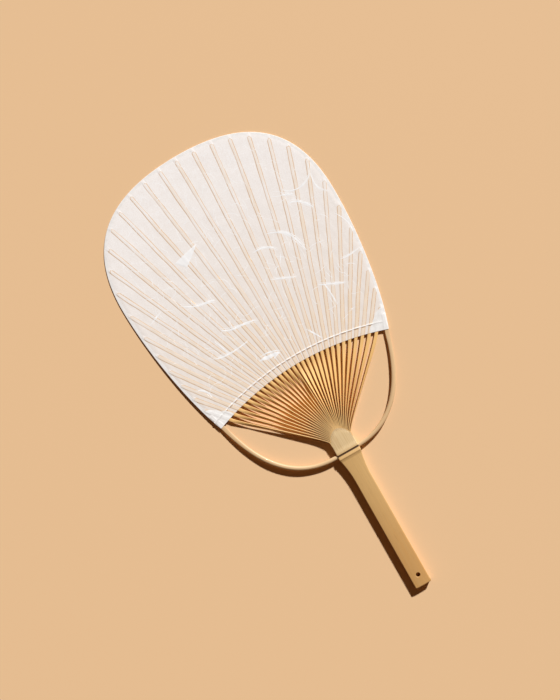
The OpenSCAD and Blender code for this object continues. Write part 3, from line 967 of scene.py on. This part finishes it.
washi, tree, shader = new_material("mulberry paper", 0.85)
pulp = paper_pulp(tree)
rib_near = marked(tree, "rib_near")
gap, run = split(tree, rib_near)[:2]
middle_shows, edge_shows, off_thread = [
    marked(tree, name, "Fac") for name in ("middle_shows", "edge_shows", "off_thread")]
stretched = put(tree, "ShaderNodeMapping", {"Vector": rib_near, "Scale": (1.6, 0.09, 7.3)}).outputs[0]
grain = contrast(tree, noise(tree, stretched, 1.0, 4.0))
sheet = mix(tree, band(tree, run, 0.0, 170.0), srgb(239, 230, 219), srgb(255, 253, 250))
sheet = layered(tree, sheet, ((236, 226, 217), pulp["Clouds"], 0.25), ((228, 212, 198), grain, 0.15))
peach = mix(tree, grain, srgb(238, 211, 174), srgb(247, 226, 198))
sheet = mix(tree, product(tree, band(tree, gap, 1.35, 0.95), middle_shows), sheet, peach)
sheet = layered(
    tree, sheet,
    ((230, 192, 142), stripe(tree, gap, 0.85, 1.15, 1.4, 1.75), edge_shows),
    # partly painted shade: a thin brown line in the crease where the paper bends over the rib's edge, partly
    # the paper's contact line on the rib
    ((200, 154, 106), stripe(tree, gap, 1.1, 1.3, 1.45, 1.65), edge_shows, 0.55),
    ((233, 222, 212), pulp["Tooth"], 0.6),
    # painted shadow: brown dashes on the ribs just below the thread's ridge, on its side away from the lamp
    ((170, 122, 76), stripe(tree, off_thread, -1.3, -0.8, -0.6, -0.35), band(tree, gap, 1.5, 1.0), 0.8),
    # partly painted highlight: a white line along the ridge over the thread, where the lifted paper shows no
    # rib and catches the lamp
    ((251, 248, 244), stripe(tree, off_thread, -0.5, -0.15, 0.2, 0.6), 0.85))
finish(tree, shader, sheet, pulp["Tooth"], 0.02)


def from_spot(plane, spot):
    """Distance of plane points to a spot on the right or to its mirror image on the left."""
    return np.linalg.norm(np.abs(plane) * [1, 0] + plane * [0, 1] - spot, axis=-1)


# Each paper is pressed down a little where the corner patches cover it
pressed = patch_press * smooth(from_spot(paper_grid, corner), 10.5, 9.0)
for face, name, node in ((1, "front_washi", "front_paper"), (-1, "back_washi", "back_paper")):
    outer = paper_height(paper_grid, face) - pressed
    points = np.stack([raised(paper_grid, face * z) for z in (outer, outer - paper_thick)])
    marks = {key: np.concatenate([values, values]) for key, values in paper_marks(face).items()}
    add_piece(name, into_part(points), shell_faces(*paper_grid.shape[:2], face < 0), washi, "washi", node,
              **marks)


# The rim strip.
# A narrow strip of plain white paper pasted round the edge of the blade and folded over both papers, from one
# lower corner over the top to the other. It takes small tucks where it goes round the curve.
rim_wide = 2.2
rim_turn = 0.25
pasted = 0.06
tuck_high = 0.03
ear_r = 14.5
ear_up = 3.5
ear_spot = corner + ear_up * unit(right_side[1] - corner)
arc_run = run_along(outline)
outside_ear = from_spot(outline, ear_spot) > ear_r - 1.5
rim_run = np.linspace(arc_run[outside_ear][0], arc_run[outside_ear][-1], 620)
rim_line = np.stack([np.interp(rim_run, arc_run, outline[:, k]) for k in range(2)], -1)
inward = -right_of(tangents(rim_line))
tuck_at = np.cumsum(rng.uniform(5, 11, 60))
tuck = tuck_high * np.exp(-((rim_run[:, None] - tuck_at) / 0.5) ** 2).sum(-1)
uneven = 0.12 * np.sin(rim_run / 6.1) + 0.1 * np.sin(rim_run / 2.3 + 1)
fold = np.array([1.0, 0.9, 0.7, 0.5, 0.3, 0.14])
fold_lift = np.array([-0.01, 0.012, 0.02, 0.02, 0.02, 0.02])
turn_angles = (60, 30, 0, -30, -60)


def rim_side(face, lift):
    """One face of the strip, as rows from its inner edge to the fold, at the papers' height plus lift."""
    plane = rim_line + (fold[:, None] * (rim_wide + uneven))[..., None] * inward
    height = paper_height(plane, face) + lift[:, None] + tuck * fold[:, None]
    return raised(plane, face * height)


def edge_turn(line, inward, front, back, depth, out):
    """Rows round the rim from a sheet's front to its back; the outermost lies at out inside the line."""
    turns = []
    for angle in np.radians(turn_angles):
        plane = line + (depth * (1 - math.cos(angle)) + out) * inward
        turns.append(raised(plane, (front if angle >= 0 else -back) * math.sin(angle)))
    return np.stack(turns)


def rim_layer(lift, out):
    """The whole strip: front face, the turn round the edge at out from the outline, and back face."""
    front = rim_side(1, lift)
    back = rim_side(-1, lift)
    turns = edge_turn(rim_line, inward, front[-1, :, 2], back[-1, :, 2], rim_turn, out)
    return np.concatenate([front, turns, back[::-1]])


rim_points = np.stack([rim_layer(fold_lift, 0.0), rim_layer(np.full(len(fold), -pasted), 0.12)])
white_paper, tree, shader = new_material("white edging paper", 0.8)
pulp = paper_pulp(tree)
white = mix(tree, pulp["Clouds"], srgb(248, 246, 241), srgb(236, 232, 226))
white = layered(tree, white, ((220, 213, 206), pulp["Tooth"], 0.25))
finish(tree, shader, white, pulp["Tooth"], 0.02)
add_piece("rim_edging", into_part(rim_points), shell_faces(*rim_points.shape[1:3]), white_paper,
          "rim_paper", "rim_strip")


# The ear patches.
# A round of the same white paper is folded over each lower corner. It holds the end of the bow, the thread's
# tie and the end of the rim strip, whose shapes show through it.
ray_count = 84
ring_count = 58
ear_turn = 0.2
ear_share = np.linspace(0, 1, ring_count)


def ear_edge(line):
    """Directions from the corner to evenly spaced points on the part of a line that the patch covers."""
    line = line[np.linalg.norm(line - ear_spot, axis=-1) <= ear_r]
    run = run_along(line)
    x, y = [np.interp(ear_share[1:] * run[-1], run, line[:, k]) - corner[k] for k in range(2)]
    return np.arctan2(y, x)[:, None]


low_angle = ear_edge(arc_point(np.linspace(corner[0], corner[0] - 2 * ear_r, 60), edge_r))
high_angle = ear_edge(outline[:200])


def ear_plane(start):
    """Plane points of the right patch: rays from the corner, turned from the lower edge round to the rim.
    The last point of a ray lies on the patch's uneven edge, which is pinched in between its two ends."""
    mixes = np.linspace(0, 1, ray_count)
    angle = low_angle * (1 - mixes) + high_angle * mixes
    spot = ear_spot - corner
    along = spot[0] * np.cos(angle[-1]) + spot[1] * np.sin(angle[-1])
    reach = along + np.sqrt(along ** 2 - spot @ spot + ear_r ** 2)
    uneven = 0.02 * np.sin(9 * mixes + start) + 0.012 * np.sin(23 * mixes + 2 * start)
    pinch = 1 - 0.03 * mixes - 0.19 * np.sin(np.pi * mixes) ** 1.5 + uneven * np.sin(np.pi * mixes)
    radius = ear_share[1:, None] * reach * pinch
    return corner + radius[..., None] * np.stack([np.cos(angle), np.sin(angle)], -1)


def ear_height(plane, face):
    """The paper's height, evened out over 0.7 mm because the patch bridges narrow hollows."""
    steps = np.array([[0, 0], [1, 0], [-1, 0], [0, 1], [0, -1]]) * 0.7
    heights = np.stack([paper_height(plane + step, face) for step in steps])
    return np.maximum(heights.mean(axis=0), heights[0])


def ear_layer(plane, mirror, lift, out):
    """The whole patch: front rays, the turn round the rim, and back rays, for one side of the fan."""
    front = ear_height(plane, 1) + lift
    back = -(ear_height(plane, -1) + lift)
    edge_inward = -mirror * right_of(tangents(plane[:, -1]))
    turns = edge_turn(plane[:, -1], edge_inward, front[:, -1], back[:, -1], ear_turn, out)
    front, back = [raised(plane, z)[:, :-1] for z in (front, back)]
    return np.concatenate([front, turns.swapaxes(0, 1), back[:, ::-1]], axis=1)


thin_edge = 0.06 * smooth(ear_share[1:], 1.0, 0.93)[:, None]
for mirror, name, node in ((-1, "left_ear", "left_ear_patch"), (1, "right_ear", "right_ear_patch")):
    plane = ear_plane(1.0 + mirror) * [mirror, 1]
    points = np.stack([ear_layer(plane, mirror, thin_edge, 0.0), ear_layer(plane, mirror, -pasted, 0.1)])
    add_piece(name, into_part(points), shell_faces(*points.shape[1:3], mirror > 0), white_paper,
              "rim_paper", node)


# The long fibres.
# White mulberry fibres lie in the surface of each paper, single or in flat bundles. The larger ones on the
# front follow the real sheet, each given by its width and by x and y of some points on it, and the small
# ones are scattered.
front_fibres = [
    (0.6, 82, 197, 76, 185, 64, 183, 56, 189), (0.6, 84, 194, 79, 183, 80, 175, 85, 170),
    (0.9, 54, 176, 61, 175, 67, 169, 69, 165), (1.1, 30, 166, 39, 162, 45, 155, 49, 141),
    (0.8, 14, 159, 20, 159, 26, 157, 31, 152), (0.7, 15, 136, 24, 132, 33, 128),
    (0.8, 43, 115, 51, 111, 62, 106), (0.7, 47, 113, 48, 107, 48, 96),
    (0.9, -51, 153, -41, 147, -32, 145, -27, 143), (1.0, -35, 123, -27, 119, -18, 118, -7, 115),
    (0.6, -43, 118, -40, 111, -38, 104), (0.7, -53, 110, -42, 105, -29, 105, -22, 106),
    (1.8, -22, 89, -12, 88, -6, 87), (0.6, 19, 92, 26, 80), (0.7, -73, 94, -67, 90, -65, 84),
    (0.5, -77, 152, -64, 157), (0.5, 80, 154, 85, 144, 85, 137), (0.6, 67, 123, 73, 122, 84, 123),
    (0.5, 27, 142, 32, 149), (0.9, 53, 185, 62, 181)]
small_fibres = 380


def fibre(points, wide, count):
    """A ribbon's middle line through chosen points, on one smooth curve, and its width, thin at the ends."""
    points = np.array(points)
    knots = np.linspace(0, 1, len(points))
    share = np.linspace(0, 1, count)
    order = min(3, len(points) - 1)
    line = np.stack([np.polyval(np.polyfit(knots, points[:, k], order), share) for k in range(2)], -1)
    knotty = 1 + 0.3 * np.sin(share * 19 + 7 * wide) * np.sin(share * 8)
    return line, wide * knotty * np.sin(np.pi * np.clip(share, 0.02, 0.98)) ** 0.6


def add_fibres(name, face, strands):
    """All fibres of one face as one piece: their sides lie on the paper and their middles are raised."""
    points, faces = [], []
    for line, wide in strands:
        out = right_of(tangents(line))
        ring = []
        hump = np.minimum(0.02 + 0.05 * wide, 0.07)
        for shift, lift in ((-0.5, -0.01), (0.0, hump), (0.5, -0.01), (0.0, -0.05)):
            plane = line + (shift * wide)[:, None] * out
            ring.append(raised(plane, face * (paper_height(plane, face) + lift)))
        start = 4 * sum(len(rings) for rings in points)
        points.append(np.stack(ring, 1))
        faces += tube_faces(len(line), 4, face > 0, start)
    add_piece(name, into_part(np.concatenate(points)), faces, fibre_paint, "washi")


def scattered(count):
    """Small curved fibres at random places inside the blade."""
    strands = []
    inner = inset(outline, 5.0)[:399]
    while len(strands) < count:
        spot = np.array([rng.uniform(-84, 84), rng.uniform(76, 244)])
        angle = rng.uniform(0, 2 * np.pi)
        size = rng.uniform(3, 13)
        bend = rng.uniform(-0.25, 0.25) * size
        way = np.array([np.cos(angle), np.sin(angle)])
        level = np.interp(spot[1], inner[:, 1], inner[:, 0])
        if abs(spot[0]) + size > level or np.linalg.norm(spot - arc_centre) < thread_r + size:
            continue
        ends = [spot - size / 2 * way, spot - bend * right_of(way), spot + size / 2 * way]
        strands.append(fibre(ends, rng.uniform(0.2, 0.5), 9))
    return strands


fibre_paint, _ = mottled("mulberry fibre", 0.6, 500.0, 2.0, (244, 242, 238), (253, 252, 250), 0.01)
main_strands, side_strands = [], []
for wide, *places in front_fibres:
    points = np.reshape(places, (-1, 2)).astype(float)
    beside = 1.3 * wide * np.array([[0.6, 1.0], [0.0, 1.2], [0.9, 0.3], [0.4, 0.8]])[:len(points)]
    main_strands.append(fibre(points, 1.8 * wide, 30))
    side_strands += [fibre(points + beside, 0.6 * wide, 20), fibre((points - beside)[1:], 0.45 * wide, 20)]
add_fibres("front_fibres", 1, main_strands + side_strands + scattered(small_fibres))
add_fibres("back_fibres", -1, scattered(small_fibres))

# One flat flake of pulp on the front, from its sharp tip to its broad torn end
flake_tip = np.array([-17.5, 186.0])
flake_left = np.array([-38.5, 181.5])
flake_right = np.array([-32.5, 174.5])
flake_share = np.linspace(0.02, 1, 26)[:, None, None]
flake_across = np.linspace(0, 1, 14)[:, None]
flake_end = flake_left + (flake_right - flake_left) * flake_across
flake_plane = flake_tip + flake_share * (flake_end - flake_tip)
flake_plane = flake_plane + 0.5 * np.sin(3 * flake_share) * (flake_across - 0.5) * [1, -0.6]
flake_high = paper_height(flake_plane, 1)
flake_rim = np.sin(np.pi * np.clip(flake_across, 0.03, 0.97)) ** 0.4 * smooth(flake_share, 1.0, 0.95)
flake_sides = [raised(flake_plane, flake_high + lift) for lift in (0.09 * flake_rim[..., 0], -0.05)]
add_piece("front_flake", into_part(np.stack(flake_sides)), shell_faces(*flake_plane.shape[:2]),
          fibre_paint, "washi")
